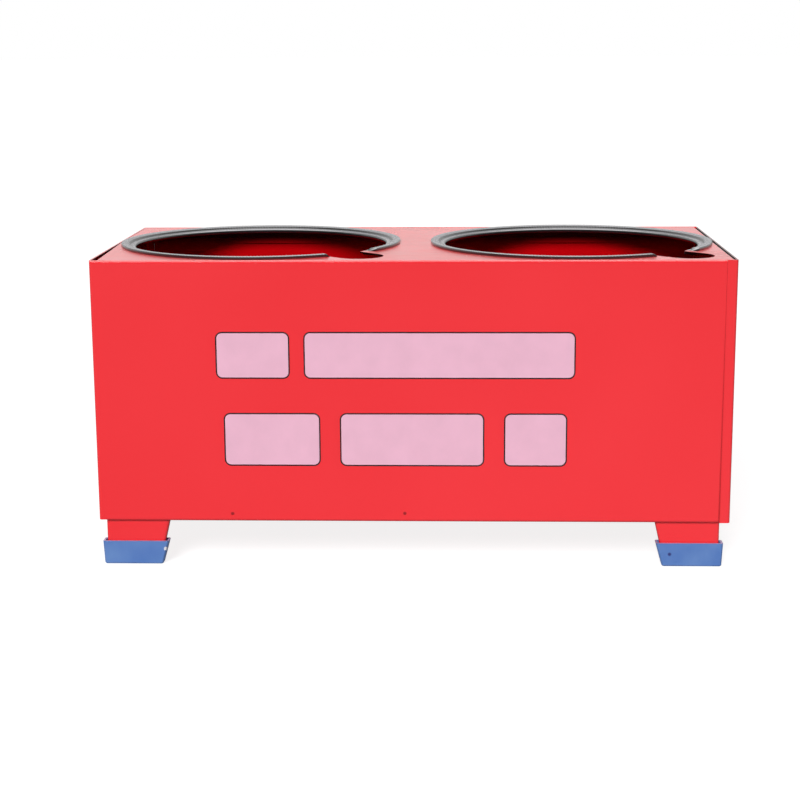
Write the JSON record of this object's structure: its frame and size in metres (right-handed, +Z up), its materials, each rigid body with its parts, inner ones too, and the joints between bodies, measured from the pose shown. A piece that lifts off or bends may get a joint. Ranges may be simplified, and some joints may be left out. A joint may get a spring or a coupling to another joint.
{
  "type": "fire extinguisher stand",
  "caption": "Low red sheet-metal floor stand with a tray inside and round rubber-edged holes in its top, each with a hose notch, that hold fire extinguishers upright.",
  "frame": {"origin": "on the floor under the middle of the stand", "axes": "+X to the right along the long front wall, +Y from the front wall towards the rear wall, +Z up"},
  "size_m": [0.36, 0.173, 0.1784],
  "materials": {
    "red_paint": "glossy red powder coat on folded steel sheet",
    "blue_plastic": "smooth moulded blue plastic",
    "black_rubber": "satin extruded black rubber"
  },
  "bodies": {
    "root": {"front_sheet": "red_paint", "rear_sheet": "red_paint", "base_tray": "red_paint", "edge_trim_left": "black_rubber", "edge_trim_right": "black_rubber", "leg_front_left": "red_paint", "leg_front_right": "red_paint", "leg_rear_left": "red_paint", "leg_rear_right": "red_paint", "foot_shoe_front_left": "blue_plastic", "foot_shoe_front_right": "blue_plastic", "foot_shoe_rear_left": "blue_plastic", "foot_shoe_rear_right": "blue_plastic"}
  },
  "joints": []
}
